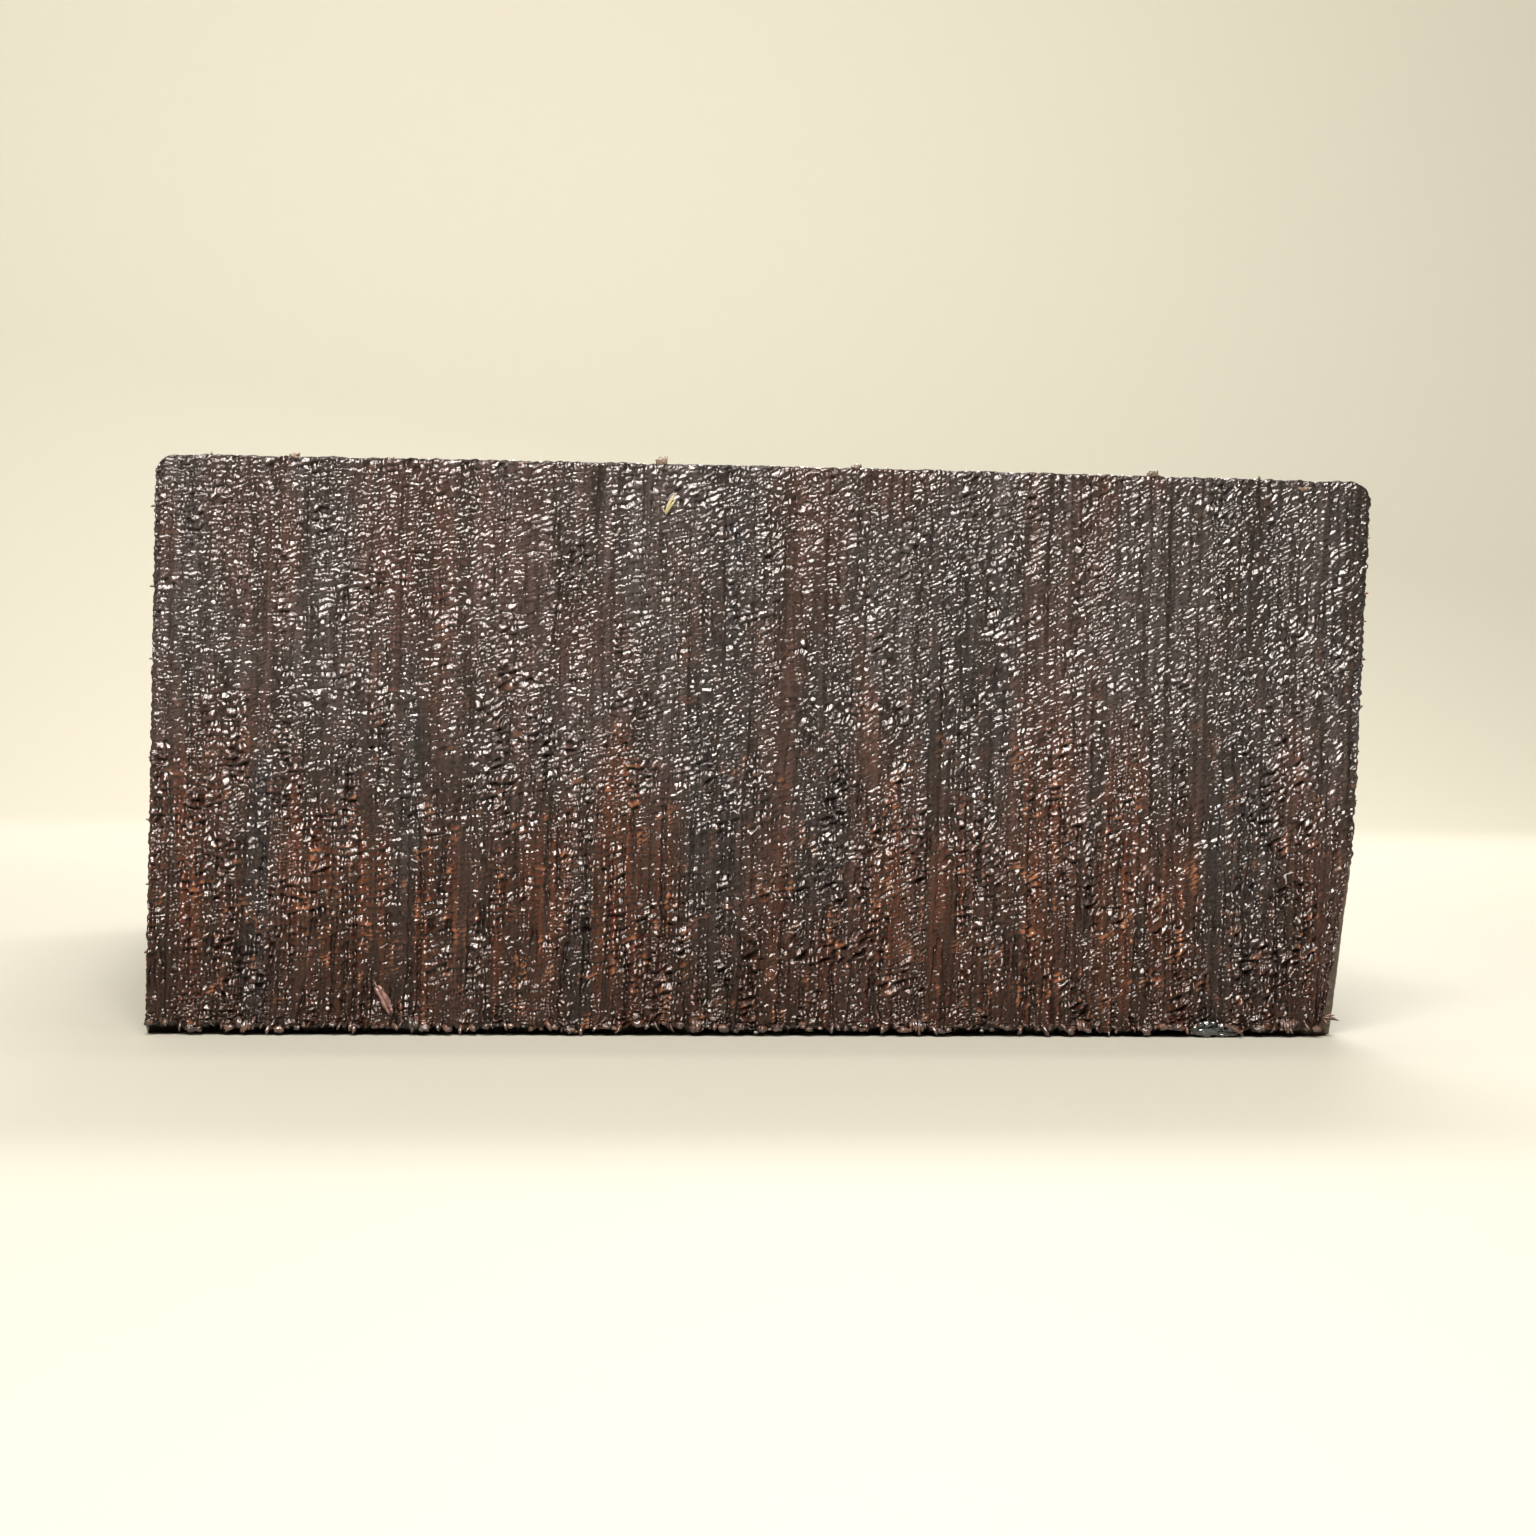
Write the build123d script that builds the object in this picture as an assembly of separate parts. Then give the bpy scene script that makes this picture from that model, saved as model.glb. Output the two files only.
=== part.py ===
from build123d import *
from math import sin
import os

# A short block of stained and varnished softwood, crosscut at both ends.
# Millimetres, +Z up. The origin is the middle of the underside. The end with the
# torn grain faces -Y, the width runs along X and the wood's grain runs along Y.

WIDTH = 95.0            # across the top, planed size of nominal 100 mm timber
HEIGHT = 44.0           # planed size of nominal 50 mm timber
LENGTH = 150.0
LEFT_LEAN = 0.3         # the left side leans in by this much at the top
RIGHT_LEAN = 1.6        # the right side leans in by this much at the bottom
ARRIS_RADIUS = 1.6      # eased top long edges

TEAR_TEETH = 38         # broken-out steps along the bottom front edge
TEAR_HEIGHT = 0.62      # mean height of the break-out on the end face
TEAR_DEPTH = 2.3        # mean depth of the break-out under the block

CHIP_HEIGHT = 15.0      # chip at the lower right front corner, up the edge
CHIP_WIDTH = 2.0        # the same, across the end face
CHIP_DEPTH = 4.0        # the same, back along the side

PROUD = 0.45            # how far the stuck bits stand off the end face
EMBED = 0.5             # how far their raw shapes run into the wood before trimming

FRONT = -LENGTH / 2
LEFT = -WIDTH / 2
RIGHT = WIDTH / 2


def section_right(z):
    """X of the leaning right side at height z."""
    return RIGHT - RIGHT_LEAN * (1.0 - z / HEIGHT)


def plain_block():
    corners = [
        (LEFT, FRONT, 0),
        (LEFT + LEFT_LEAN, FRONT, HEIGHT),
        (RIGHT, FRONT, HEIGHT),
        (section_right(0), FRONT, 0),
    ]
    section = make_face(Polyline(*corners, close=True))
    solid = extrude(section, amount=LENGTH, dir=(0, 1, 0))
    top_arrises = solid.edges().filter_by(Axis.Y).group_by(Axis.Z)[-1]
    return fillet(top_arrises, ARRIS_RADIUS)


def tear_tooth(index):
    """One wedge of missing wood under the front edge. Its size wanders from tooth to tooth."""
    pitch = WIDTH / TEAR_TEETH
    near = LEFT + index * pitch
    height = TEAR_HEIGHT * (1.0 + 0.34 * sin(2.3 * index) + 0.22 * sin(5.1 * index + 1.0))
    depth = TEAR_DEPTH * (1.0 + 0.30 * sin(1.7 * index + 2.0) + 0.25 * sin(4.3 * index))
    wedge = [
        (near, FRONT - 1.0, height),
        (near, FRONT, height),
        (near, FRONT + depth, 0),
        (near, FRONT + depth, -1.0),
        (near, FRONT - 1.0, -1.0),
    ]
    return extrude(make_face(Polyline(*wedge, close=True)), amount=pitch, dir=(1, 0, 0))


def corner_chip(solid):
    """Cuts the lower right front corner off with one slanting plane."""
    up_the_edge = Vector(section_right(CHIP_HEIGHT), FRONT, CHIP_HEIGHT)
    across_the_end = Vector(section_right(0) - CHIP_WIDTH, FRONT, 0)
    along_the_side = Vector(section_right(0), FRONT + CHIP_DEPTH, 0)
    run = across_the_end - up_the_edge
    outward = run.cross(along_the_side - up_the_edge)
    if outward.X < 0:
        outward = outward * -1
    cut = Plane(origin=up_the_edge, x_dir=run, z_dir=outward)
    return split(solid, bisect_by=cut, keep=Keep.BOTTOM)


def timber_block():
    solid = plain_block()
    for index in range(TEAR_TEETH):
        solid -= tear_tooth(index)
    return corner_chip(solid)


def sliver(start, end, width, bend=0.0, proud=PROUD):
    """A flat tapered chip of wood that lies on the end face from start to end, each (x, z)."""
    run_x = end[0] - start[0]
    run_z = end[1] - start[1]
    length = (run_x ** 2 + run_z ** 2) ** 0.5
    along = (run_x / length, run_z / length)
    across = (-along[1], along[0])

    def spot(share, side):
        bow = bend * 4.0 * share * (1.0 - share)
        x = start[0] + along[0] * share * length + across[0] * (side * width + bow)
        z = start[1] + along[1] * share * length + across[1] * (side * width + bow)
        return (x, FRONT - proud, z)

    outline = [
        spot(0.0, -0.18),
        spot(0.28, -0.50),
        spot(0.70, -0.42),
        spot(1.0, -0.10),
        spot(0.96, 0.14),
        spot(0.62, 0.50),
        spot(0.22, 0.44),
        spot(0.03, 0.16),
    ]
    face = make_face(Polyline(*outline, close=True))
    return extrude(face, amount=proud + EMBED, dir=(0, 1, 0))


def hanging_tuft(centre_x, width, tip_z):
    """A bundle of torn fibres that hangs in the break-out, wide at its root."""
    top_z = TEAR_HEIGHT * 2.0
    half = width / 2
    outline = [
        (centre_x - half, FRONT - 0.1, top_z),
        (centre_x - 0.7 * half, FRONT - 0.1, tip_z + 0.35),
        (centre_x - 0.1 * half, FRONT - 0.1, tip_z),
        (centre_x + 0.5 * half, FRONT - 0.1, tip_z + 0.15),
        (centre_x + half, FRONT - 0.1, top_z),
    ]
    return extrude(make_face(Polyline(*outline, close=True)), amount=1.2, dir=(0, 1, 0))


def corner_splinter():
    """A thin splinter that points out of the chipped corner, towards +X."""
    root = Vector(43.2, FRONT + 0.55, 1.55)
    tip = Vector(46.0, FRONT + 0.15, 1.30)
    axis = Plane(origin=root, z_dir=tip - root)
    return loft([axis * Circle(0.30), Plane(origin=tip, z_dir=tip - root) * Circle(0.05)])


def finish_run():
    """The cured bead of finish: a squat drop from the broken edge to the surface below."""
    drop = Pos(34.9, FRONT + 0.55, 0.55) * scale(Sphere(1.0), by=(1.55, 0.85, 0.95))
    spill = Pos(36.3, FRONT + 0.75, 0.42) * scale(Sphere(1.0), by=(1.2, 0.7, 0.6))
    surface_below = Pos(35.0, FRONT, -2.0) * Box(20, 20, 4)
    return (drop + spill) - surface_below


TUFTS = [               # centre x, width, height of the tip
    (-40.0, 1.7, 0.10),
    (-27.4, 0.8, 0.38),
    (-5.6, 0.9, 0.34),
    (11.7, 1.3, 0.16),
    (24.6, 0.8, 0.36),
    (41.3, 1.5, 0.32),
]

CRUMBS = [              # start, end, width of each bit along the top front edge
    ((-9.15, 43.7), (-8.60, 44.80), 0.42),
    ((29.45, 43.6), (30.15, 44.55), 0.48),
    ((-37.1, 43.6), (-36.5, 44.30), 0.50),
    ((6.0, 43.7), (6.6, 44.35), 0.55),
    ((41.45, 43.05), (42.45, 43.35), 0.38),
]

block = timber_block()
nodes = {
    "timber_block": block,
    "embedded_splinter": sliver((-30.35, 3.90), (-28.75, 1.68), 0.62) - block,
    "pale_shaving": sliver((-8.70, 40.45), (-7.80, 42.22), 0.46, bend=0.14) - block,
    "top_edge_crumbs": Compound([sliver(*crumb, proud=0.2) - block for crumb in CRUMBS]),
    "tear_out_tufts": Compound([hanging_tuft(*tuft) - block for tuft in TUFTS]),
    "corner_splinter": corner_splinter() - block,
    "finish_run": finish_run() - block,
}

os.makedirs("parts", exist_ok=True)
for name, shape in nodes.items():
    export_step(shape, f"parts/{name}.step")
    box = shape.bounding_box()
    print(name, len(shape.solids()), "solids", round(shape.volume, 2), "mm3", box.min, box.max)
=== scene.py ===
"""A short block of stained and varnished softwood, seen from its rough crosscut end.

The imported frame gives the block's place and size. One dense closed skin stands for the
block, with its end grain, growth rings, break-out and chip as real relief, and each
stuck or torn bit of wood is a mesh of its own. Shapes are worked out in millimetres
and written to the meshes in metres.
"""
import math

import bpy
import numpy as np
from mathutils import Matrix, Vector


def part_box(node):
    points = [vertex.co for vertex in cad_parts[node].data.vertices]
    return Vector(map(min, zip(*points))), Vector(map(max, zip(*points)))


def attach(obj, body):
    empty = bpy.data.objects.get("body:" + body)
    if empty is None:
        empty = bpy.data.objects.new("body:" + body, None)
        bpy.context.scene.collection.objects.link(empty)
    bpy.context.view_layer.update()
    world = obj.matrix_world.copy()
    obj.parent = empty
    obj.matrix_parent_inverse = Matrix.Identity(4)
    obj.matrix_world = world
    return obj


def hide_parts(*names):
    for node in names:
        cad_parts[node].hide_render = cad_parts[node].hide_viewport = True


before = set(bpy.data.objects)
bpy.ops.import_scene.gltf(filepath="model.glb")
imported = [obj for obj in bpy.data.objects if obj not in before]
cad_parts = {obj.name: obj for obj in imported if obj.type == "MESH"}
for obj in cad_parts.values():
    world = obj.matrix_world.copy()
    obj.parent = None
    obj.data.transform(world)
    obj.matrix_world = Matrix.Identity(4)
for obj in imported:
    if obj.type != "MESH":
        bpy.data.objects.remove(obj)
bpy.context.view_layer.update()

MM = 0.001

# ---------------------------------------------------------------- driving dimensions, mm

BLOCK_LOW, BLOCK_HIGH = (np.array(corner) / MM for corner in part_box("timber_block"))
LENGTH = BLOCK_HIGH[1] - BLOCK_LOW[1]
HEIGHT = BLOCK_HIGH[2]
FRONT = BLOCK_LOW[1]
REAR = BLOCK_HIGH[1]
LEFT = BLOCK_LOW[0]
RIGHT = -LEFT
LEFT_LEAN = 0.3             # how far the left side leans in at the top
RIGHT_LEAN = 1.6            # how far the right side leans in at the bottom
ARRIS_RADIUS = 1.6          # eased top long edges
TOP_CROWN = 0.18            # how far the top stands up along its middle

TEAR_DEPTH = 2.3            # how far the break-out runs back under the front edge
TEAR_FADE = 3.0             # how far up the end face the break-out pulls the grain
CHIP_HEIGHT = 15.0          # chip at the lower right front corner
CHIP_WIDTH = 2.0
CHIP_DEPTH = 4.0
CHIP_FADE = 4.0

RING_SLANT = 0.028          # how far the growth rings and fibres lean across for each mm up
END_CARRY = 0.9             # how far the relief of an end runs on round its edges
RAG_REACH = 0.35            # how far in from an end face's edge its raggedness reaches
RAG_LENGTH = 0.6            # how far along the long faces it reaches

END_STEPS_X = 1188          # grid of the front end face
END_STEPS_Z = 552
REAR_STEPS_X = 594          # grid of the rear end face
REAR_STEPS_Z = 276
COARSEN = 4                 # front edge points for each point along the long faces

# Where each part of the skin lies when it is unwrapped: lowest and highest u and v.
FRONT_UV = ((0.004, 0.545), (0.996, 0.996))
REAR_UV = ((0.004, 0.004), (0.48, 0.226))
SIDES_V = 0.53              # v of the long faces at the front
SIDES_V_FALL = 0.29         # how far it falls to the rear

SAW_RADIUS = 190.0          # the saw's arcs across the end grain
SAW_CENTRE_X = -64.0

# Stain on the end grain: centre across the block, half width, lowest and highest place, strength.
RUST_BANDS = [
    (-45.0, 2.8, -9.0, 24.0, 0.8),
    (-33.9, 4.0, -9.0, 17.0, 1.0),
    (-26.0, 1.4, -9.0, 17.0, 0.8),
    (-18.4, 2.8, -9.0, 15.0, 0.9),
    (-10.4, 3.4, -9.0, 19.0, 1.3),
    (-1.0, 1.9, -9.0, 10.0, 0.9),
    (9.3, 1.6, -9.0, 19.0, 0.8),
    (13.8, 1.8, -9.0, 17.0, 0.7),
    (20.7, 2.8, -9.0, 24.0, 1.0),
    (27.1, 2.0, -9.0, 20.0, 0.8),
    (31.6, 1.8, -9.0, 17.0, 0.8),
    (42.5, 1.3, -9.0, 14.0, 0.6),
    (-24.0, 9.0, 24.0, 60.0, 0.35),
    (22.0, 3.6, 24.0, 60.0, 0.45),
]
COLD_BANDS = [
    (-39.2, 0.8, -9.0, 23.0, 1.2),
    (-28.6, 1.0, -9.0, 30.0, 0.7),
    (-15.1, 1.1, -9.0, 9.0, 1.0),
    (-4.8, 2.3, 4.0, 60.0, 0.9),
    (3.4, 2.2, 8.0, 32.0, 0.7),
    (14.6, 3.6, 21.0, 40.0, 0.8),
    (36.8, 3.0, 2.0, 60.0, 0.7),
    (45.5, 2.6, 26.0, 60.0, 0.9),
]

TOP_CRUMBS = [              # middle across, middle up, width, height
    (-8.85, 44.36, 0.82, 0.62),
    (29.80, 44.26, 0.75, 0.50),
    (-36.80, 44.12, 0.70, 0.36),
    (6.30, 44.24, 0.70, 0.40),
    (41.95, 43.38, 0.80, 0.30),
]
TUFTS = [                   # middle across, width, height of the tip
    (-40.0, 1.7, 0.10),
    (-27.4, 0.8, 0.38),
    (-5.6, 0.9, 0.34),
    (11.7, 1.3, 0.16),
    (24.6, 0.8, 0.36),
    (41.3, 1.5, 0.32),
]
SPLINTER_STRANDS = [        # shift aside, shift out of the end face, half width
    (-0.16, 0.14, 0.19),
    (0.13, 0.24, 0.20),
    (0.0, 0.05, 0.30),
]
WHISKERS_RIGHT = (30.0, 22.7, 18.7, 39.5, 35.2, 26.1, 33.0)     # heights on the side
WHISKERS_LEFT = (40.1, 34.0, 28.5, 21.0, 16.2, 11.4, 6.3)
WHISKERS_TOP = (-43.0, -29.4, -24.2, -16.8, -2.4, 2.1, 12.7, 19.6, 24.0, 35.2, 38.4)
FRINGE_COUNT = 150          # torn ends along the bottom edge
FRINGE_LUMPS = 0.62         # share of them that are lumps and not strands
FINISH_BEADS = [            # across from the run's left end, height, radius
    (0.35, 0.75, 0.20),
    (0.80, 1.05, 0.24),
    (1.35, 1.10, 0.30),
    (1.80, 1.15, 0.20),
    (2.45, 0.95, 0.24),
    (3.20, 0.70, 0.20),
    (1.10, 0.40, 0.22),
]

# Colours of the finished wood, linear.
LOW_WOOD = (0.0190, 0.0052, 0.0028, 1)      # near the bottom
HIGH_WOOD = (0.041, 0.035, 0.037, 1)        # near the top
WARM_PATCH = (0.043, 0.0200, 0.0160, 1)
RUST = (0.060, 0.0150, 0.0055, 1)
COLD = (0.0135, 0.0135, 0.0165, 1)
DENSE_RING = (0.020, 0.011, 0.008, 1)
LOW_EDGE = (0.008, 0.0030, 0.0020, 1)
PAINTED_LIP_HIGHLIGHT = (0.27, 0.100, 0.046, 1)         # painted highlight: warm light on the proud lips of the scales
# painted shade in the hollows under the scales and in the grooves
HOLLOW_SHADE = (0.005, 0.003, 0.0025, 1)
UNDERCUT_SHADE = (0.004, 0.003, 0.0025, 1)        # painted shade under the break-out
BARE_DARK = (0.055, 0.040, 0.031, 1)        # unvarnished wood in the chip
BARE_LIGHT = (0.15, 0.115, 0.088, 1)

# ---------------------------------------------------------------- noise


def lattice(ix, iy, iz, seed):
    """A repeatable random number from 0 to 1 for each whole-number point."""
    n = (ix * 374761393 + iy * 668265263 + iz * 1440662683 + seed * 974634777) & 0xFFFFFFFF
    n = ((n ^ (n >> 13)) * 1274126177) & 0xFFFFFFFF
    n = ((n ^ (n >> 15)) * 2246822519) & 0xFFFFFFFF
    return ((n ^ (n >> 16)) & 0xFFFFFF) / float(0xFFFFFF)


def fade(t):
    return t * t * t * (t * (t * 6.0 - 15.0) + 10.0)


def waves(x, y, seed):
    """Smooth gradient noise in the plane, about -1 to 1."""
    ix, iy = np.floor(x).astype(np.int64), np.floor(y).astype(np.int64)
    fx, fy = x - ix, y - iy
    total = 0.0
    for dx in (0, 1):
        wx = fade(fx) if dx else 1.0 - fade(fx)
        for dy in (0, 1):
            wy = fade(fy) if dy else 1.0 - fade(fy)
            angle = 2.0 * math.pi * lattice(ix + dx, iy + dy, 0, seed)
            total = total + wx * wy * (np.cos(angle) * (fx - dx) + np.sin(angle) * (fy - dy))
    return total * 1.5


def clouds(x, y, z, seed):
    """Smooth value noise in space, -1 to 1."""
    ix, iy, iz = (np.floor(v).astype(np.int64) for v in (x, y, z))
    fx, fy, fz = fade(x - ix), fade(y - iy), fade(z - iz)
    total = 0.0
    for dx in (0, 1):
        wx = fx if dx else 1.0 - fx
        for dy in (0, 1):
            wy = fy if dy else 1.0 - fy
            for dz in (0, 1):
                wz = fz if dz else 1.0 - fz
                total = total + wx * wy * wz * lattice(ix + dx, iy + dy, iz + dz, seed)
    return total * 2.0 - 1.0


def scales(x, y, cell, seed, loose_x=0.8):
    """Torn fibre ends like overlapping fish scales, each tilted to face upwards.

    cell is their width and height. Returns their height in mm, and how far up its own
    scale each point lies, from -1 at its proud lower lip to 1 under the next one.
    """
    x, y = x / cell[0], y / cell[1]
    ix, iy = np.floor(x).astype(np.int64), np.floor(y).astype(np.int64)
    nearest = np.full(x.shape, 9.0)
    height = np.zeros(x.shape)
    place = np.zeros(x.shape)
    for dx in (-1, 0, 1):
        for dy in (-1, 0, 1):
            chance = [lattice(ix + dx, iy + dy, k, seed) for k in range(5)]
            away_x = x - (ix + dx + 0.5 + loose_x * (chance[0] - 0.5))
            away_y = y - (iy + dy + 0.5 + 0.8 * (chance[1] - 0.5))
            away = away_x ** 2 + away_y ** 2
            slope = 0.12 + 0.62 * chance[2]
            lean = 0.8 * (chance[3] - 0.5)
            top = 0.10 * chance[4] - slope * away_y * cell[1] + lean * away_x * cell[0]
            top = top - 0.22 * cell[1] * away
            nearer = away < nearest
            nearest = np.where(nearer, away, nearest)
            height = np.where(nearer, top, height)
            place = np.where(nearer, 2.0 * away_y, place)
    return height, np.clip(place, -1.0, 1.0)


def ramp(value, low, high):
    """0 below low, 1 above high, smooth between."""
    t = np.clip((value - low) / (high - low), 0.0, 1.0)
    return t * t * (3.0 - 2.0 * t)


# ---------------------------------------------------------------- the wood

rng = np.random.default_rng(27)
RING_WIDTHS = rng.uniform(1.6, 3.2, 90)
RING_EDGES = np.concatenate([[0.0], np.cumsum(RING_WIDTHS)]) - 110.0


def ring_number(x, y, z):
    """How many growth rings in from the left a point of the wood lies, as a running number."""
    across = x - RING_SLANT * z
    across = across + 1.5 * clouds(x / 38.0, y / 160.0, z / 42.0, 11)
    across = across + 0.35 * clouds(x / 9.0, y / 70.0, z / 13.0, 12)
    across = across + 0.07 * clouds(x / 2.0, y / 24.0, z / 2.6, 13)
    return np.interp(across, RING_EDGES, np.arange(len(RING_EDGES)))


def latewood(rings):
    """1 in the dense dark part of each ring, 0 in the soft part."""
    part = rings - np.floor(rings)
    return ramp(part, 0.55, 0.86) * (1.0 - ramp(part, 0.955, 1.0))


def stain(bands, x, y, z, seed):
    """How strongly a list of bands colours each point, with wandering edges."""
    sway = x - RING_SLANT * z + 0.5 * clouds(x / 3.0, y / 40.0, z / 8.0, seed)
    level = z + 5.0 * clouds(x / 1.6, y / 30.0, z / 22.0, seed + 1)
    total = np.zeros(x.shape)
    for centre, half, low, high, strength in bands:
        across = 1.0 - ramp(np.abs(sway - centre), 0.55 * half, 1.35 * half)
        from_low = strength * across * ramp(level, low - 4.0, low + 4.0)
        total += from_low * (1.0 - ramp(level, high - 5.0, high + 5.0))
    return total


def end_relief(x, z, rings, seed):
    """How far the torn end grain stands out, in mm, and how near a point is to a lip.

    The second is about 1 at the proud lip of a scale and about 0 at the other side of it,
    less in the grooves between the fibre columns. The colour paints a highlight where it is
    high and shade where it is low.
    """
    dense = latewood(rings)
    low = ramp(z, 30.0, 3.0)
    arc = z - (x - SAW_CENTRE_X) ** 2 / (2.0 * SAW_RADIUS)
    column = x - RING_SLANT * z + 0.25 * waves(x / 6.0, z / 12.0, seed + 1)
    column = column + 0.16 * waves(x / 1.1, z / 1.0, seed + 8)
    arc = arc + 0.26 * waves(x / 1.5, z / 1.3, seed + 2)
    coarse, coarse_place = scales(column, arc, (0.80, 0.47), seed + 3, 0.45)
    fine, fine_place = scales(column, arc, (0.42, 0.29), seed + 4, 0.6)
    share = ramp(clouds(x / 1.7, 0 * x, z / 2.3, seed + 5) + 0.40 * ramp(z, 36.0, 12.0), -0.06, 0.54)
    strong = (1.0 - 0.25 * dense) * (0.92 + 0.35 * clouds(x / 5.0, 0 * x, z / 7.0, seed + 6))
    smooth = ramp(clouds(x / 0.9, 0 * x, z / 11.0, seed + 10) + 0.20 * low, 0.25, 0.85)
    strong = strong * (1.0 + 0.2 * low) * (1.0 - 0.55 * smooth)
    bumps = strong * (share * coarse + (1.0 - share) * fine)
    place = share * coarse_place + (1.0 - share) * fine_place
    threads = waves(x / 0.34, z / 4.0, seed + 7)
    groove = np.exp(-(waves(column / 1.25, z / 17.0, seed + 11) / 0.085) ** 2)
    rib = np.cos(2.0 * math.pi * (column / 0.80 - 0.5)) * (0.02 + 0.05 * low)
    relief = bumps + 0.04 * threads + 0.05 * dense - (0.05 + 0.08 * low) * groove + rib
    relief = relief + 0.10 * waves(x / 11.0, z / 17.0, seed + 9) - 0.05
    # where the colour paints light: high at the proud lips and on the ribs, low under the next scale and
    # in the grooves
    painted_light = 0.5 - 0.5 * place - (0.25 + 0.3 * low) * groove + 2.5 * rib
    return relief, painted_light


# ---------------------------------------------------------------- the block's skin


def section_left(z):
    return LEFT + LEFT_LEAN * z / HEIGHT


def section_right(z):
    return RIGHT - RIGHT_LEAN * (1.0 - z / HEIGHT)


def end_grid(steps_x, steps_z):
    """Points of the block's section on a grid, rounded at its top corners."""
    s, t = np.meshgrid(np.linspace(0, 1, steps_x + 1), np.linspace(0, 1, steps_z + 1))
    z = t * HEIGHT
    left, right = section_left(z), section_right(z)
    x = left + s * (right - left)
    up = (z - (HEIGHT - ARRIS_RADIUS)) / ARRIS_RADIUS
    for side in (-1, 1):
        out = (side * x - (side * np.where(side < 0, left, right) - ARRIS_RADIUS)) / ARRIS_RADIUS
        corner = (out > 0) & (up > 0)
        a, b = out[corner], up[corner]
        x[corner] += side * ARRIS_RADIUS * (a * np.sqrt(1 - b * b / 2) - a)
        z[corner] += ARRIS_RADIUS * (b * np.sqrt(1 - a * a / 2) - b)
    return x, z


def rim(steps_x, steps_z):
    """Places of the grid's edge points, once round: bottom, right, top, left."""
    grid = np.arange((steps_x + 1) * (steps_z + 1)).reshape(steps_z + 1, steps_x + 1)
    return np.concatenate([grid[0, :-1], grid[:-1, -1], grid[-1, :0:-1], grid[:0:-1, 0]])


def row_places():
    """Y of the rows along the long faces: fine rows behind the front edge, then the rest."""
    fine = FRONT + np.cumsum(np.linspace(0.09, 0.34, 26))
    ease = np.cumsum(np.linspace(0.12, 0.42, 8))
    count = int(round((REAR - ease[-1] - fine[-1]) / 0.46))
    plain = np.linspace(fine[-1], REAR - ease[-1], count + 1)[1:]
    return fine, np.concatenate([plain, REAR - ease[-2::-1]])


class Skin:
    """Collects the points, faces and unwrapped places of the closed skin."""

    def __init__(self):
        self.points, self.loops, self.sizes, self.unwrap = [], [], [], []
        self.count = 0

    def add(self, x, y, z):
        flat = np.stack([np.ravel(x), np.ravel(np.broadcast_to(y, np.shape(x))), np.ravel(z)], 1)
        start = self.count
        self.points.append(flat)
        self.count += len(flat)
        return start + np.arange(len(flat))

    def faces(self, corners, places):
        """corners is (faces, corners per face); places the same with u and v."""
        self.loops.append(corners.ravel())
        self.sizes.append(np.full(len(corners), corners.shape[1]))
        self.unwrap.append(places.reshape(-1, 2))


def cap_faces(skin, ids, steps_x, steps_z, low_uv, high_uv, flip):
    """Quads over an end face's grid. flip turns them to face the other way."""
    grid = ids.reshape(steps_z + 1, steps_x + 1)
    corners = np.stack([grid[:-1, :-1], grid[:-1, 1:], grid[1:, 1:], grid[1:, :-1]], -1)
    u, v = np.meshgrid(np.linspace(low_uv[0], high_uv[0], steps_x + 1),
                       np.linspace(low_uv[1], high_uv[1], steps_z + 1))
    places = np.stack([u, v], -1)
    places = np.stack([places[:-1, :-1], places[:-1, 1:], places[1:, 1:], places[1:, :-1]], -2)
    corners, places = corners.reshape(-1, 4), places.reshape(-1, 4, 2)
    if flip:
        corners, places = corners[:, ::-1], places[:, ::-1]
    skin.faces(corners, places)


def band_faces(skin, near, far, v_near, v_far):
    """Quads between two rings of the same number of points."""
    n = len(near)
    u = np.arange(n + 1) / n
    corners = np.stack([near, far, np.roll(far, -1), np.roll(near, -1)], 1)
    places = np.stack([
        np.stack([u[:-1], np.full(n, v_near)], 1),
        np.stack([u[:-1], np.full(n, v_far)], 1),
        np.stack([u[1:], np.full(n, v_far)], 1),
        np.stack([u[1:], np.full(n, v_near)], 1),
    ], 1)
    skin.faces(corners, places)


def step_faces(skin, fine, coarse, v_fine, v_coarse, fine_first):
    """Faces between a ring and one with a whole number of times fewer points."""
    n = len(coarse)
    times = len(fine) // n
    u = np.arange(n * times + 1) / (n * times)
    fan = np.stack([np.roll(fine, -k)[::times] for k in range(times, -1, -1)], 1)
    fan_u = np.stack([u[k::times][:n] for k in range(times, -1, -1)], 1)
    corners = np.concatenate([coarse[:, None], np.roll(coarse, -1)[:, None], fan], 1)
    v = np.concatenate([np.full((n, 2), v_coarse), np.full((n, times + 1), v_fine)], 1)
    places_u = np.concatenate([u[:-1:times][:, None], u[times::times][:, None], fan_u], 1)
    places = np.stack([places_u, v], -1)
    if not fine_first:
        corners, places = corners[:, ::-1], places[:, ::-1]
    skin.faces(corners, places)


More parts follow.
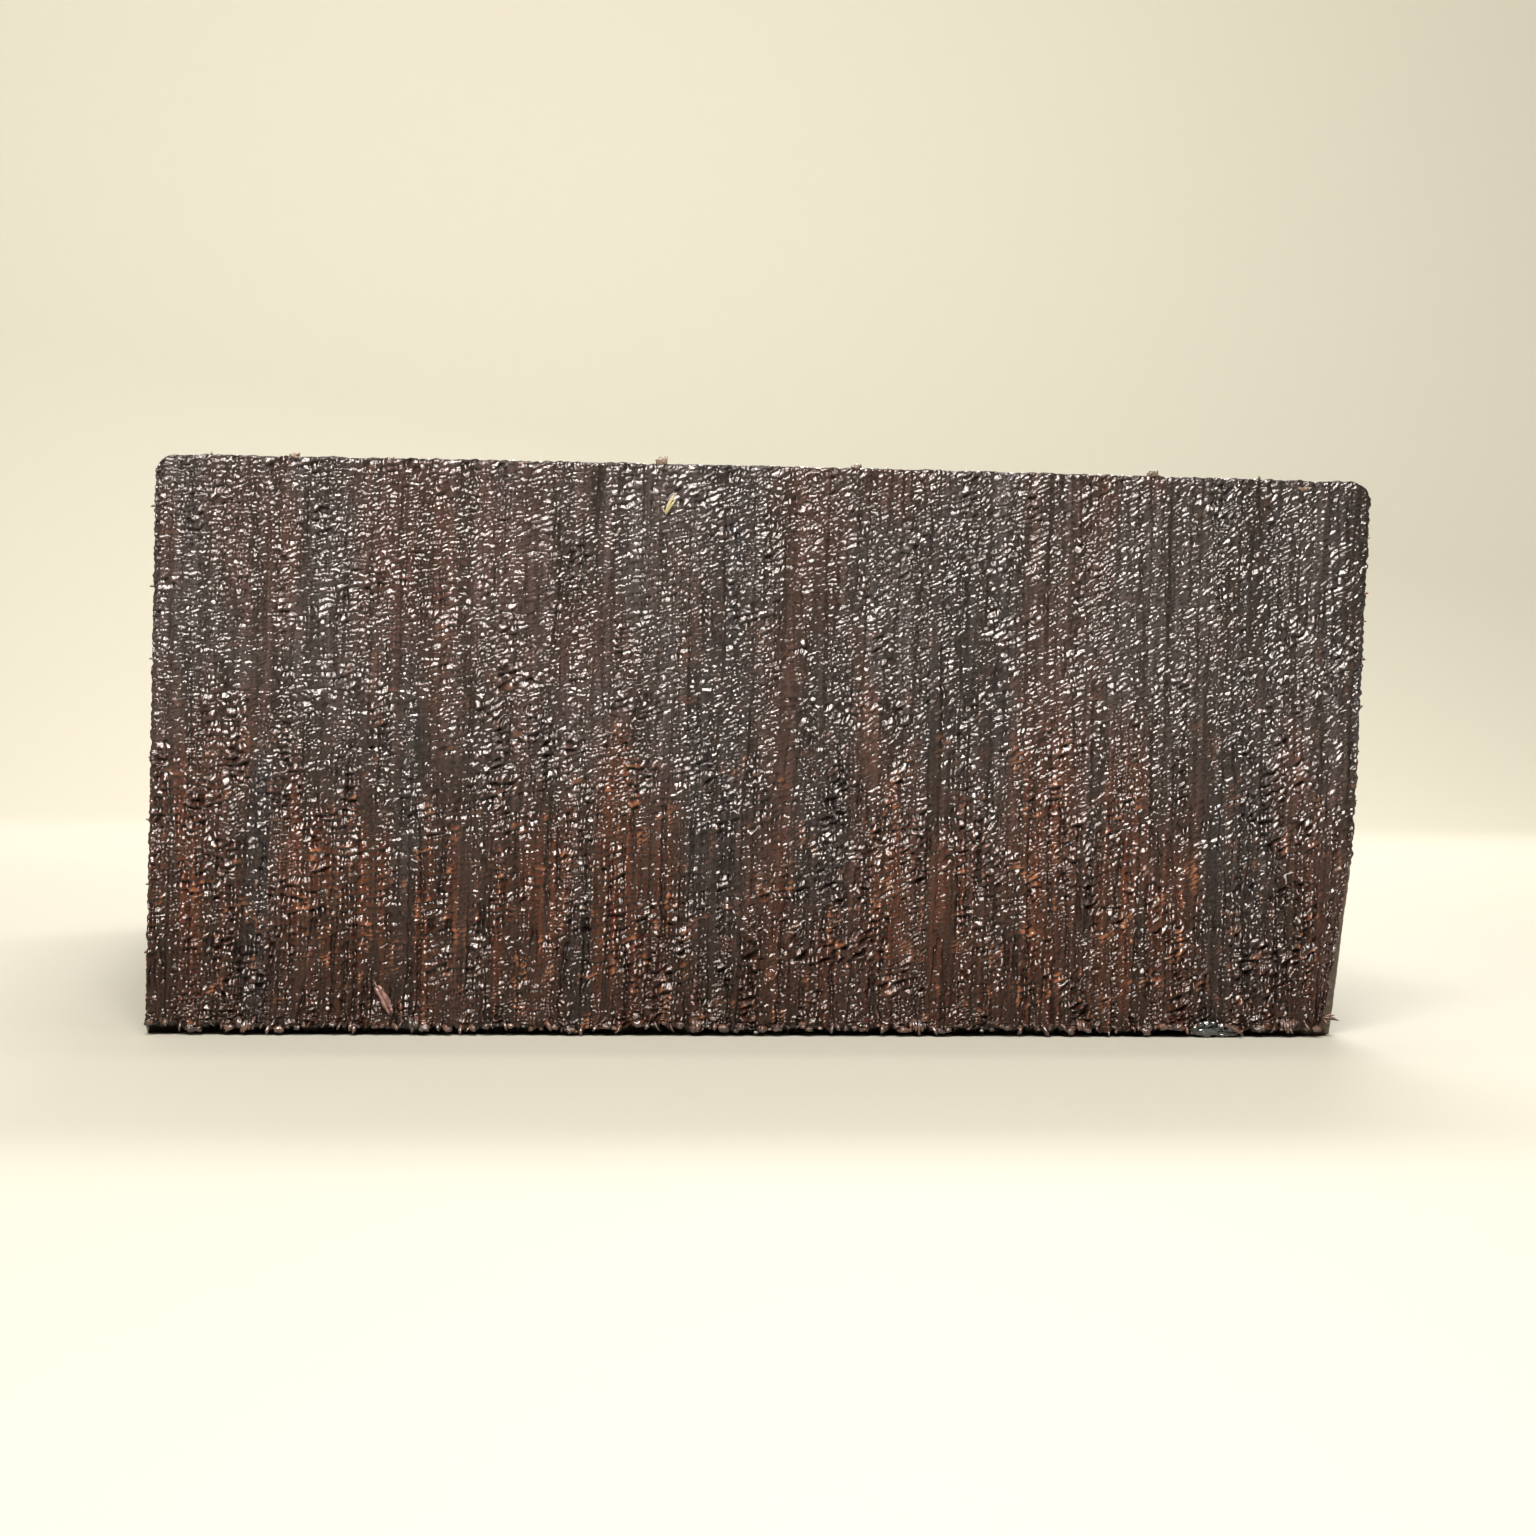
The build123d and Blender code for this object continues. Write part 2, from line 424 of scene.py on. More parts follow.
def build_skin():
    """The block's closed skin before any relief, and how many points its two ends have.

    The front end's points come first and the rear end's points last.
    """
    skin = Skin()
    x, z = end_grid(END_STEPS_X, END_STEPS_Z)
    front = skin.add(x, FRONT, z)
    cap_faces(skin, front, END_STEPS_X, END_STEPS_Z, *FRONT_UV, False)
    rim_ids = rim(END_STEPS_X, END_STEPS_Z)
    rim_x, rim_z = x.ravel()[rim_ids], z.ravel()[rim_ids]
    fine_rows, plain_rows = row_places()

    def v_at(y):
        return SIDES_V - SIDES_V_FALL * (y - FRONT) / LENGTH

    ring, y_before = front[rim_ids], FRONT
    for y in fine_rows:
        row = skin.add(rim_x, y, rim_z)
        band_faces(skin, ring, row, v_at(y_before), v_at(y))
        ring, y_before = row, y
    row = skin.add(rim_x[::COARSEN], plain_rows[0], rim_z[::COARSEN])
    step_faces(skin, ring, row, v_at(y_before), v_at(plain_rows[0]), True)
    ring, y_before = row, plain_rows[0]
    for y in plain_rows[1:]:
        row = skin.add(rim_x[::COARSEN], y, rim_z[::COARSEN])
        band_faces(skin, ring, row, v_at(y_before), v_at(y))
        ring, y_before = row, y

    x, z = end_grid(REAR_STEPS_X, REAR_STEPS_Z)
    rear = skin.add(x, REAR, z)
    cap_faces(skin, rear, REAR_STEPS_X, REAR_STEPS_Z, *REAR_UV, True)
    rear_rim = rear[rim(REAR_STEPS_X, REAR_STEPS_Z)]
    step_faces(skin, rear_rim, ring, v_at(REAR), v_at(y_before), False)
    return skin, len(front), len(rear)


def break_out(x):
    """Height of the break-out under the front edge: a ragged line with teeth."""
    height = 0.68 + 0.26 * waves(x / 6.0, 0 * x, 31) + 0.36 * waves(x / 1.6, 0 * x, 32)
    height = height + 0.22 * waves(x / 0.5, 0 * x, 33)
    height = height + 0.45 * (1.0 - ramp(x, LEFT, LEFT + 6.0))
    height = height + 0.55 * ramp(x, RIGHT - 5.5, RIGHT - 1.5)
    return np.clip(height, 0.12, 1.4)


def shape_skin(points, front_count, rear_count):
    """Gives the skin its relief. Returns the new points and the facts that the finish needs."""
    x, y, z = points.T
    out = points.copy()
    count = len(points)
    on_front = np.arange(count) < front_count
    on_rear = np.arange(count) >= count - rear_count
    back = np.where(on_rear, LENGTH, y - FRONT)
    gap_left, gap_right = x - section_left(z), section_right(z) - x
    gap_top, gap_bottom = HEIGHT - z, z
    rings = ring_number(x, y, z)

    # torn end grain, carried a little way round each edge
    front_relief, front_painted_light = end_relief(x, z, rings, 100)
    rear_relief, rear_painted_light = end_relief(x, z, rings, 200)
    edge = np.minimum(np.minimum(gap_left, gap_right), np.minimum(gap_top, gap_bottom))
    soft_edge = 0.12 * np.exp(-np.maximum(edge, 0.0) / 0.13)
    fall_front = np.clip(1.0 - back / END_CARRY, 0.0, 1.0) ** 2
    fall_rear = np.clip(1.0 - (REAR - y) / END_CARRY, 0.0, 1.0) ** 2
    out[:, 1] -= (front_relief - soft_edge) * fall_front
    out[:, 1] += (rear_relief - soft_edge) * fall_rear

    # ragged arrises, strongest on the end faces
    for distance, seed in ((back, 41), (REAR - y, 61)):
        end_fall = np.exp(-distance / RAG_LENGTH)
        left_rag = 0.13 * waves(z / 0.9, 0 * z, seed) + 0.10 * waves(z / 0.35, 0 * z, seed + 1)
        top_rag = 0.08 * waves(x / 2.2, 0 * x, seed + 2) + 0.09 * waves(x / 0.6, 0 * x, seed + 3)
        right_rag = 0.13 * waves(z / 1.0, 0 * z, seed + 4) + 0.10 * waves(z / 0.4, 0 * z, seed + 5)
        out[:, 0] -= left_rag * np.exp(-gap_left / RAG_REACH) * end_fall
        out[:, 0] += right_rag * np.exp(-gap_right / RAG_REACH) * end_fall
        out[:, 2] += top_rag * np.exp(-gap_top / RAG_REACH) * end_fall
    out[:, 2] += TOP_CROWN * (1.0 - (x / RIGHT) ** 2) * np.exp(-gap_top / 6.0)

    # break-out along the bottom front edge
    depth = TEAR_DEPTH * (1.0 + 0.45 * waves(x / 2.6, 0 * x, 34))
    tear = np.clip(1.0 - back / depth, 0.0, 1.0) * np.clip(1.0 - z / TEAR_FADE, 0.0, 1.0) ** 2
    out[:, 2] += break_out(x) * tear
    rough_under = (tear > 0) & (z < 0.01)
    out[:, 2] += np.where(rough_under, 0.10 * waves(x / 0.5, y / 2.2, 35) * np.minimum(tear * 4, 1), 0)

    # chip at the lower right front corner
    share = np.clip(1.0 - z / CHIP_HEIGHT, 0.0, 1.0)
    chip_depth = np.maximum(CHIP_DEPTH * share, 1e-6)
    chip = share * np.clip(1.0 - back / chip_depth, 0.0, 1.0)
    chip_near = np.clip(1.0 - gap_right / CHIP_FADE, 0.0, 1.0) ** 2
    ragged = 1.0 + 0.12 * waves(z / 1.1, y / 5.0, 36) + 0.08 * waves(z / 0.35, y / 4.0, 37)
    out[:, 0] -= CHIP_WIDTH * chip * chip_near * ragged
    bare = ramp(chip * chip_near, 0.0, 0.12) * np.where(on_front, 0.0, 1.0)

    # planed long faces under a brushed finish
    long_face = ~(on_front | on_rear)
    around = np.where(gap_left < 0.01, z, np.where(gap_right < 0.01, z + 200.0, x + 400.0))
    dense = latewood(rings)
    brushed = 0.022 * waves(around / 0.9, y / 30.0, 51) + 0.014 * waves(around / 0.35, y / 12.0, 52)
    brushed = brushed + 0.030 * dense + 0.03 * waves(around / 8.0, y / 20.0, 53) - 0.03
    inward = np.minimum(1.0, np.minimum(back, REAR - y) / 1.0)
    lift = np.where(long_face, brushed * inward, 0.0)
    out[:, 0] += lift * (np.exp(-gap_right / 0.5) - np.exp(-gap_left / 0.5))
    out[:, 2] += lift * np.exp(-gap_top / 0.5)
    out[:, 2] = np.maximum(out[:, 2], 0.0)

    end = np.maximum(np.where(on_front, 1.0, fall_front), np.where(on_rear, 1.0, fall_rear))
    return out, {
        "rings": rings,
        "end_grain": end,
        # where the colour paints highlight and shade on the end grain
        "relief": np.where(y < 0, front_painted_light, rear_painted_light),
        "bare": bare,
        # where the colour paints shade under the break-out
        "under": np.where(on_front, 0.0, np.clip(tear * 3.0, 0.0, 1.0)),
        "rust": stain(RUST_BANDS, x, y, z, 71),
        "cold": stain(COLD_BANDS, x, y, z, 81),
    }


def mesh_object(name, points, loops, sizes, facts=None, unwrap=None):
    """A smooth mesh from points in mm, the corners of its faces and each face's corner count."""
    mesh = bpy.data.meshes.new(name)
    mesh.vertices.add(len(points))
    mesh.vertices.foreach_set("co", (points * MM).astype(np.float32).ravel())
    mesh.loops.add(len(loops))
    mesh.loops.foreach_set("vertex_index", loops.astype(np.int32))
    mesh.polygons.add(len(sizes))
    starts = np.concatenate([[0], np.cumsum(sizes)[:-1]]).astype(np.int32)
    mesh.polygons.foreach_set("loop_start", starts)
    mesh.update(calc_edges=True)
    mesh.polygons.foreach_set("use_smooth", np.ones(len(sizes), dtype=bool))
    for fact, values in (facts or {}).items():
        layer = mesh.attributes.new(fact, "FLOAT", "POINT")
        layer.data.foreach_set("value", values.astype(np.float32))
    if unwrap is not None:
        layer = mesh.uv_layers.new(name="OFBake")
        layer.data.foreach_set("uv", unwrap.astype(np.float32).ravel())
    piece = bpy.data.objects.new(name, mesh)
    bpy.context.scene.collection.objects.link(piece)
    return piece


def make_block():
    skin, front_count, rear_count = build_skin()
    points, facts = shape_skin(np.concatenate(skin.points), front_count, rear_count)
    block = mesh_object("timber_skin", points, np.concatenate(skin.loops),
                        np.concatenate(skin.sizes), facts, np.concatenate(skin.unwrap))
    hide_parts("timber_block")
    return block


# ---------------------------------------------------------------- bits of wood and finish


class Bits:
    """Collects closed strands and lumps into one piece."""

    def __init__(self):
        self.points, self.loops, self.sizes = [], [], []
        self.count = 0

    def rings(self, rings, first, last):
        """Closes a stack of rings of points with a point at each end."""
        n, sides = rings.shape[:2]
        grid = self.count + 1 + np.arange(n * sides).reshape(n, sides)
        self.points += [np.array([first]), rings.reshape(-1, 3), np.array([last])]
        wrap = np.roll(grid, -1, axis=1)
        quads = np.stack([grid[:-1], wrap[:-1], wrap[1:], grid[1:]], -1).reshape(-1, 4)
        start = np.stack([np.full(sides, self.count), wrap[0], grid[0]], 1)
        end = np.stack([np.full(sides, self.count + n * sides + 1), grid[-1], wrap[-1]], 1)
        for corners in (quads, start, end):
            self.loops.append(corners.ravel())
            self.sizes.append(np.full(len(corners), corners.shape[1]))
        self.count += n * sides + 2

    def strand(self, path, half_width, half_depth, seed, taper=(0.3, 0.1), flat=(0, 1, 0),
               rough=0.16, sides=14):
        """A ridged strand along a path, thinner towards its ends. flat is across its thin side."""
        path = np.array(path, float)
        share = np.linspace(0.0, 1.0, len(path))
        along = np.gradient(path, axis=0)
        along /= np.linalg.norm(along, axis=1)[:, None]
        thin = np.array(flat, float) - along * (along @ np.array(flat, float))[:, None]
        thin /= np.linalg.norm(thin, axis=1)[:, None]
        wide = np.cross(along, thin)
        body = np.minimum(1.0, taper[0] + 4.0 * share) * np.minimum(1.0, taper[1] + 2.2 * (1.0 - share))
        angle = np.linspace(0.0, 2.0 * math.pi, sides, endpoint=False)
        ridge = 1.0 + rough * (2.0 * lattice(np.arange(sides), 0, 0, seed) - 1.0)
        knots = np.arange(len(path))[:, None] * 31 + np.arange(sides)
        size = body[:, None] * (ridge + 0.5 * rough * (2.0 * lattice(knots, 1, 0, seed) - 1.0))
        rings = path[:, None] + wide[:, None] * (half_width * size * np.cos(angle))[..., None]
        rings = rings + thin[:, None] * (half_depth * size * np.sin(angle))[..., None]
        first = path[0] - 0.3 * half_depth * along[0]
        last = path[-1] + 0.5 * half_depth * along[-1]
        self.rings(rings, first, last)

    def lump(self, centre, radii, seed, rough=0.3, grain=2.0, count=18):
        """A rounded lump with an uneven surface."""
        centre, radii = np.array(centre, float), np.array(radii, float)
        tilt = np.linspace(0.0, math.pi, count + 2)[1:-1, None]
        turn = np.linspace(0.0, 2.0 * math.pi, 2 * count, endpoint=False)[None]
        way = np.stack([
            np.sin(tilt) * np.cos(turn),
            np.sin(tilt) * np.sin(turn),
            np.cos(tilt) + 0 * turn,
        ], -1)
        bulge = 1.0 + rough * clouds(*(grain * way + 7.3).transpose(2, 0, 1), seed)
        rings = centre + way * radii * bulge[..., None]
        self.rings(rings[:, ::-1], centre + (0, 0, radii[2]), centre - (0, 0, radii[2]))

    def piece(self, name, material, slot, *nodes):
        """Makes the object, kept clear of the ground, and dresses it."""
        points = np.concatenate(self.points)
        points[:, 2] = np.maximum(points[:, 2], 0.02)
        made = mesh_object(name, points, np.concatenate(self.loops), np.concatenate(self.sizes))
        if nodes:
            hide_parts(*nodes)
        dress(made, material)
        return made


def bent_path(start, end, bow=(0, 0, 0), steps=12):
    """Points from start to end that bulge sideways by bow in the middle."""
    share = np.linspace(0.0, 1.0, steps)[:, None]
    start, end, bow = (np.array(v, float) for v in (start, end, bow))
    return start + (end - start) * share + bow * 4.0 * share * (1.0 - share)


def node_box(name):
    return (np.array(corner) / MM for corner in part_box(name))


def make_embedded_splinter(material):
    low, high = node_box("embedded_splinter")
    bits = Bits()
    start = np.array((low[0] + 0.32, FRONT, high[2] - 0.1))
    end = np.array((high[0] - 0.28, FRONT, low[2] + 0.1))
    for k, (aside, out, half) in enumerate(SPLINTER_STRANDS):
        shift = np.array((0.8 * aside, -out, 0.55 * aside))
        path = bent_path(start + shift, end + shift * (1.1, 1.0, 1.0), (0.05, -0.05, 0.03), 22)
        bits.strand(path, half, 0.17, 301 + k, (0.35, 0.3), rough=0.36)
    for k in range(7):
        share = 0.12 + 0.13 * k
        spot = start + (end - start) * share + (0.16 + 0.05 * math.sin(3.0 * k), -0.36, 0.08)
        bits.lump(spot, (0.13, 0.08, 0.10), 320 + k, 0.25, count=10)
    barb = bent_path(start + (-0.05, -0.2, 0.0), start + (-0.22, -0.3, 0.42))
    bits.strand(barb, 0.05, 0.04, 340, (0.9, 0.2))
    bits.piece("splinter_in_grain", material, "bare_splinter", "embedded_splinter")


def make_pale_shaving(material):
    low, high = node_box("pale_shaving")
    start = np.array((low[0] + 0.26, FRONT - 0.28, low[2] - 0.15))
    end = np.array((high[0] + 0.02, FRONT - 0.38, high[2] - 0.30))
    bits = Bits()
    curl = bent_path(start, end, (-0.12, -0.05, 0.08), 22)
    bits.strand(curl, 0.12, 0.05, 351, (0.7, 0.15), (0.25, 1, 0.1), 0.12)
    fold = bent_path(start + (0.10, 0.05, 0.1), end - (0.05, 0.0, 0.55), (-0.03, -0.08, 0.03), 18)
    bits.strand(fold, 0.10, 0.045, 352, (0.5, 0.3), (-0.5, 1, 0), 0.12)
    hair = bent_path(start + (-0.12, 0.0, 0.15), start + (-0.28, -0.04, 0.55))
    bits.strand(hair, 0.05, 0.03, 353, (0.6, 0.2))
    bits.piece("shaving_on_grain", material, "pale_wood", "pale_shaving")


def make_crumbs(material):
    bits = Bits()
    for k, (x, z, wide, tall) in enumerate(TOP_CRUMBS):
        middle = np.array((x, FRONT + 0.10, z))
        bits.lump(middle, (0.5 * wide, 0.24, 0.5 * tall), 360 + k, 0.5, 1.7)
        right_tip = middle + (0.5 * wide, -0.05, 0.62 * tall)
        to_right = bent_path(middle + (0.1 * wide, 0, 0), right_tip, (0.05, 0, -0.03))
        bits.strand(to_right, 0.12, 0.10, 370 + k, (0.9, 0.15))
        to_left = bent_path(middle, middle + (-0.6 * wide, 0.1, 0.12 * tall))
        bits.strand(to_left, 0.11, 0.09, 380 + k, (0.9, 0.2))
    bits.piece("crumbs_on_top_edge", material, "wood_crumb", "top_edge_crumbs")


def make_tufts(material):
    bits = Bits()
    for k, (x, width, tip) in enumerate(TUFTS):
        count = 4 + int(4 * width)
        for j in range(count):
            share = (j + 0.5) / count - 0.5
            drift = lattice(np.arange(4), j, k, 391)
            root = (x + share * width, FRONT + 0.30 + 0.3 * drift[0], 1.35 + 0.3 * drift[1])
            low = tip + 0.55 * abs(share) * width + 0.35 * drift[2]
            end = (x + 0.75 * share * width + 0.3 * (drift[3] - 0.5), FRONT - 0.12 - 0.2 * drift[1], low)
            path = bent_path(root, end, (0, -0.22, 0))
            bits.strand(path, 0.10 + 0.07 * drift[0], 0.09, 400 + 20 * k + j, (0.9, 0.35))
    bits.piece("torn_tufts", material, "torn_fibre", "tear_out_tufts")


def make_corner_splinter(material):
    low, high = node_box("corner_splinter")
    root = (low[0], FRONT + 0.55, 1.55)
    longest = bent_path(root, (high[0] - 0.45, FRONT + 0.15, 1.32), (0, -0.06, 0.10), 20)
    lowest = bent_path(root, (high[0] - 1.3, FRONT + 0.2, 1.05), (0, -0.05, -0.08))
    highest = bent_path(root, (high[0] - 0.8, FRONT + 0.3, 1.75), (0, -0.05, 0.10))
    bits = Bits()
    bits.strand(longest, 0.13, 0.18, 501, (0.9, 0.08), rough=0.25)
    bits.strand(lowest, 0.12, 0.12, 502, (0.9, 0.2))
    bits.strand(highest, 0.10, 0.10, 503, (0.9, 0.1))
    bits.piece("splinter_at_corner", material, "torn_fibre", "corner_splinter")


def make_finish_run(material):
    low, _ = node_box("finish_run")
    bits = Bits()
    base = np.array((low[0], FRONT, 0.0))
    bits.lump(base + (1.45, 0.25, 0.55), (1.35, 0.65, 0.50), 511, 0.22, 2.6, 30)
    bits.lump(base + (2.9, 0.40, 0.36), (1.10, 0.55, 0.34), 512, 0.25, 2.4, 24)
    for k, (x, z, size) in enumerate(FINISH_BEADS):
        bits.lump(base + (x, -0.30, z), (1.2 * size, 0.8 * size, 0.9 * size), 520 + k, 0.22, 1.4, 16)
    bits.piece("bead_of_finish", material, "cured_finish", "finish_run")


def make_fringe(material):
    """Short torn fibre ends and clots of finish all along the broken bottom edge."""
    bits = Bits()
    places = np.linspace(LEFT + 0.5, section_right(0.0) - CHIP_WIDTH - 0.2, FRINGE_COUNT)
    for k, x in enumerate(places):
        chance = lattice(np.arange(8), k, 0, 601)
        x = x + 0.8 * (chance[0] - 0.5)
        edge = float(break_out(np.array([x]))[0])
        out = FRONT - 0.12 - 0.14 * chance[3]
        size = 0.12 + 0.22 * chance[4] ** 2
        if chance[5] < FRINGE_LUMPS:
            middle = (x, out + 0.10, max(edge + 0.12 - 0.25 * chance[1], 0.6 * size + 0.08))
            bits.lump(middle, (1.25 * size, 0.8 * size, 0.8 * size), 610 + k, 0.55, 2.2, 9)
        else:
            root = (x, FRONT + 0.16, edge + 0.30)
            end = (x + 0.9 * (chance[2] - 0.5), out, max(edge - 0.10 - 0.40 * chance[1] ** 2, 0.1))
            bow = (0.25 * (chance[6] - 0.5), -0.12, 0.0)
            path = bent_path(root, end, bow, 9)
            bits.strand(path, 0.6 * size, 0.09, 610 + k, (0.9, 0.25), rough=0.4, sides=9)
    long_fibre = bent_path((36.1, FRONT - 0.32, 1.0), (37.6, FRONT - 0.5, 0.18), (0.1, 0, 0.12), 18)
    bits.strand(long_fibre, 0.16, 0.14, 791, (0.8, 0.2), rough=0.25)
    bits.piece("bottom_fringe", material, "torn_fibre")


def make_whiskers(material):
    """Fibre ends that stand out past the sides and the top of the torn end."""
    bits = Bits()
    spots = [("right", z) for z in WHISKERS_RIGHT]
    spots += [("left", z) for z in WHISKERS_LEFT]
    spots += [("top", x) for x in WHISKERS_TOP]
    for k, (side, place) in enumerate(spots):
        chance = lattice(np.arange(4), k, 0, 801)
        reach = 0.14 + 0.20 * chance[0]
        if side == "top":
            root = np.array((place, FRONT + 0.25, HEIGHT - 0.15))
            out = np.array((0.5 * (chance[1] - 0.5), 0.0, 1.0))
        else:
            sign, edge = (1.0, section_right(place)) if side == "right" else (-1.0, section_left(place))
            root = np.array((edge - 0.15 * sign, FRONT + 0.2, place))
            out = np.array((sign, 0.0, 0.9 * (chance[1] - 0.35)))
        end = root + out * (0.15 + reach)
        path = bent_path(root, end, (0, -0.05, 0.03), 8)
        bits.strand(path, 0.06 + 0.05 * chance[2], 0.06, 810 + k, (0.9, 0.15), sides=10)
    bits.piece("edge_whiskers", material, "torn_fibre")


# ---------------------------------------------------------------- materials


class Nodes:
    """Short calls for building a node tree."""

    def __init__(self, material):
        material.use_nodes = True
        self.tree = material.node_tree
        self.tree.nodes.clear()

    def new(self, kind, **settings):
        node = self.tree.nodes.new(kind)
        for key, value in settings.items():
            setattr(node, key, value)
        return node

    def link(self, out, into):
        self.tree.links.new(out, into)

    def fill(self, socket, value):
        if isinstance(value, bpy.types.NodeSocket):
            self.link(value, socket)
        else:
            socket.default_value = value

    def math(self, operation, a, b=0.0, clamp=False):
        node = self.new("ShaderNodeMath", operation=operation, use_clamp=clamp)
        self.fill(node.inputs[0], a)
        self.fill(node.inputs[1], b)
        return node.outputs[0]

    def fact(self, name):
        return self.new("ShaderNodeAttribute", attribute_name=name).outputs["Fac"]

    def spread(self, value, low, high, to_low=0.0, to_high=1.0):
        """to_low where the value is low, to_high where it is high, smooth between."""
        node = self.new("ShaderNodeMapRange", interpolation_type="SMOOTHSTEP")
        ends = {"From Min": low, "From Max": high, "To Min": to_low, "To Max": to_high}
        for key, number in ends.items():
            node.inputs[key].default_value = number
        self.link(value, node.inputs["Value"])
        return node.outputs["Result"]

    def noise(self, scale, detail=3.0, rough=0.55, stretch=(1, 1, 1), offset=(0, 0, 0)):
        """Noise in the object's own space. scale is in cycles per millimetre."""
        where = self.new("ShaderNodeTexCoord").outputs["Object"]
        mapping = self.new("ShaderNodeMapping")
        mapping.inputs["Scale"].default_value = [s / MM for s in stretch]
        mapping.inputs["Location"].default_value = offset
        self.link(where, mapping.inputs["Vector"])
        node = self.new("ShaderNodeTexNoise")
        node.inputs["Scale"].default_value = scale
        node.inputs["Detail"].default_value = detail
        node.inputs["Roughness"].default_value = rough
        self.link(mapping.outputs["Vector"], node.inputs["Vector"])
        return node.outputs["Fac"]

    def mix(self, share, a, b, blend="MIX"):
        node = self.new("ShaderNodeMix", data_type="RGBA", blend_type=blend, clamp_factor=False)
        self.fill(node.inputs["Factor"], share)
        self.fill(node.inputs[6], a)
        self.fill(node.inputs[7], b)
        return node.outputs[2]

    def height(self):
        """Height in the block, from 0 at its underside to 1 at its top."""
        where = self.new("ShaderNodeTexCoord").outputs["Object"]
        split = self.new("ShaderNodeSeparateXYZ")
        self.link(where, split.inputs[0])
        return self.math("MULTIPLY", split.outputs["Z"], 1.0 / (HEIGHT * MM))

    def surface(self, shader):
        """Makes the shader the material's surface."""
        out = self.new("ShaderNodeOutputMaterial")
        self.link(shader.outputs[0], out.inputs["Surface"])

    def bump(self, shader, grain, depth):
        """Raises a fine grain, depth in metres, on the shader and on its coat."""
        bump = self.new("ShaderNodeBump")
        bump.inputs["Strength"].default_value = 0.6
        bump.inputs["Distance"].default_value = depth
        self.link(grain, bump.inputs["Height"])
        self.link(bump.outputs["Normal"], shader.inputs["Normal"])
        self.link(bump.outputs["Normal"], shader.inputs["Coat Normal"])


